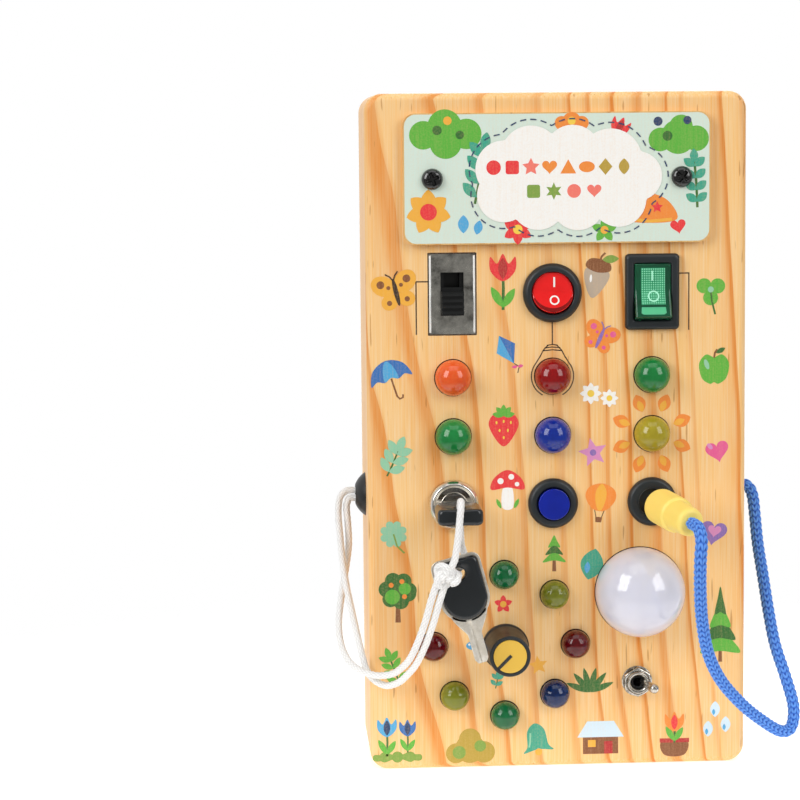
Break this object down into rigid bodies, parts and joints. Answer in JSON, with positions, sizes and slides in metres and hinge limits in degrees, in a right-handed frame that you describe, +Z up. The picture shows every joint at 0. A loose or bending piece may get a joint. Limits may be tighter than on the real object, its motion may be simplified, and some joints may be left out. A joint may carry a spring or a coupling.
{
  "type": "wooden busy board",
  "caption": "Hollow wooden activity board with switches, lamps, a corded key lock, a corded plug, a dial, a push button and a dome lamp on its front face.",
  "frame": {"origin": "centre of the board's bottom face", "axes": "+X to the right, +Y to the back and +Z up; the front face looks along -Y"},
  "size_m": [0.1312, 0.0723, 0.189],
  "materials": {
    "pine": "sanded and clear varnished pine",
    "back_plywood": "sanded thin wood board",
    "printed_plate": "thin wood, printed in colour, satin",
    "black_screw": "black oxide steel",
    "zinc_screw": "zinc plated steel",
    "nickel_sheet": "nickel plated steel",
    "black_plastic": "moulded, semi gloss",
    "red_button": "translucent moulded plastic",
    "green_button": "translucent moulded plastic",
    "orange_lamp": "tinted clear epoxy",
    "red_lamp": "tinted clear epoxy",
    "green_lamp": "tinted clear epoxy",
    "blue_lamp": "tinted clear epoxy",
    "yellow_lamp": "tinted clear epoxy",
    "circuit_green": "green circuit board",
    "blue_button": "moulded, glossy",
    "chrome_lock": "polished chrome plate",
    "key_steel": "nickel plated, bright",
    "yellow_plug": "soft moulded plastic",
    "milk_dome": "milky diffusing plastic",
    "white_plastic": "moulded",
    "black_knob": "moulded",
    "yellow_cap": "moulded",
    "black_tray": "moulded",
    "battery_wrap": "plain printed wrap",
    "white_string": "braided polyester string",
    "blue_string": "braided polyester cord"
  },
  "bodies": {
    "root": {"front_block": "pine", "back_panel": "back_plywood", "back_panel_screws": "zinc_screw", "name_plate": "printed_plate", "name_plate_screws": "black_screw", "slide_switch_frame": "nickel_sheet", "slide_switch_base": "black_plastic", "red_rocker_housing": "black_plastic", "green_rocker_housing": "black_plastic", "lamp_orange": "orange_lamp", "lamp_red": "red_lamp", "lamp_green": "green_lamp", "lamp_lower_green": "green_lamp", "lamp_blue": "blue_lamp", "lamp_yellow": "yellow_lamp", "ring_lamps_green": "green_lamp", "ring_lamps_yellow": "yellow_lamp", "ring_lamps_red": "red_lamp", "ring_lamps_blue": "blue_lamp", "lamp_circuit_board": "circuit_green", "ring_circuit_board": "circuit_green", "push_button_body": "black_plastic", "push_button_spring": "zinc_screw", "panel_nuts": "zinc_screw", "lock_body": "chrome_lock", "socket_body": "black_plastic", "dome_lens": "milk_dome", "dome_base": "white_plastic", "dial_control": "nickel_sheet", "dial_control_nut": "zinc_screw", "toggle_body": "chrome_lock", "toggle_nut": "chrome_lock", "cord_grommet": "black_plastic", "battery_tray": "black_tray", "battery_contacts": "nickel_sheet", "batteries": "battery_wrap", "white_cord_board_end": "white_string", "blue_cord_board_end": "blue_string"},
    "slide_slider": {"slide_switch_slider": "black_plastic"},
    "red_paddle": {"red_rocker_paddle": "red_button"},
    "green_paddle": {"green_rocker_paddle": "green_button"},
    "button_cap": {"push_button_cap": "blue_button"},
    "lever": {"toggle_lever": "chrome_lock"},
    "lock_cylinder": {"lock_cylinder": "chrome_lock"},
    "key_hanger": {"white_cord_key_end": "white_string", "white_cord_knot": "white_string", "white_cord_loop": "white_string"},
    "key": {"key_blade": "key_steel", "key_bow": "black_plastic", "white_cord_eye": "white_string"},
    "spare_key": {"spare_key_blade": "key_steel", "spare_key_bow": "black_plastic"},
    "plug": {"plug_pin": "nickel_sheet", "plug_handle": "yellow_plug", "blue_cord_plug_end": "blue_string"},
    "knob": {"dial_shaft": "nickel_sheet", "knob_body": "black_knob", "knob_cap": "yellow_cap"},
    "battery_cover": {"battery_door": "black_tray", "battery_door_screws": "zinc_screw"}
  },
  "joints": [
    {"name": "slide_switch_slide", "type": "slide", "parent": "root", "child": "slide_slider", "axis": [0, 0, 1], "range_m": [0, 0.005]},
    {"name": "red_rocker_tilt", "type": "hinge", "parent": "root", "child": "red_paddle", "pos_m": [-0.0013, -0.0185, 0.1338], "axis": [1, 0, 0], "range_deg": [0, 20]},
    {"name": "green_rocker_tilt", "type": "hinge", "parent": "root", "child": "green_paddle", "pos_m": [0.0265, -0.0185, 0.1338], "axis": [1, 0, 0], "range_deg": [0, 20]},
    {"name": "push_button_press", "type": "slide", "parent": "root", "child": "button_cap", "axis": [0, 1, 0], "range_m": [0, 0.0025], "stiffness_N_per_m": 500, "springref_m": -0.001, "deforming": ["push_button_spring"]},
    {"name": "toggle_throw", "type": "hinge", "parent": "root", "child": "lever", "pos_m": [0.0223, -0.016, 0.024], "axis": [0, 0, -1], "range_deg": [0, 28]},
    {"name": "lock_turn", "type": "hinge", "parent": "root", "child": "lock_cylinder", "pos_m": [-0.0291, -0.018, 0.075], "axis": [0, 1, 0], "range_deg": [0, 90]},
    {"name": "key_pull", "type": "slide", "parent": "root", "child": "key_hanger", "axis": [0, -1, 0], "range_m": [0, 0.012]},
    {"name": "key_turn", "type": "hinge", "parent": "key_hanger", "child": "key", "pos_m": [-0.0291, -0.039, 0.075], "axis": [0, 1, 0], "range_deg": [0, 90]},
    {"name": "spare_key_swing", "type": "hinge", "parent": "key_hanger", "child": "spare_key", "pos_m": [-0.0296, -0.038, 0.0591], "axis": [0, 1, 0], "range_deg": [-20, 30]},
    {"name": "plug_pull", "type": "slide", "parent": "root", "child": "plug", "axis": [0.2494, -0.9645, -0.0872], "range_m": [0, 0.02]},
    {"name": "knob_turn", "type": "hinge", "parent": "root", "child": "knob", "pos_m": [-0.0151, -0.018, 0.035], "axis": [0, 1, 0], "range_deg": [0, 300]},
    {"name": "battery_door_lift", "type": "slide", "parent": "root", "child": "battery_cover", "axis": [0, 1, 0], "range_m": [0, 0.012]}
  ],
  "couplings": [
    {"joint": "lock_turn", "follows": "key_turn", "ratio": 1}
  ]
}
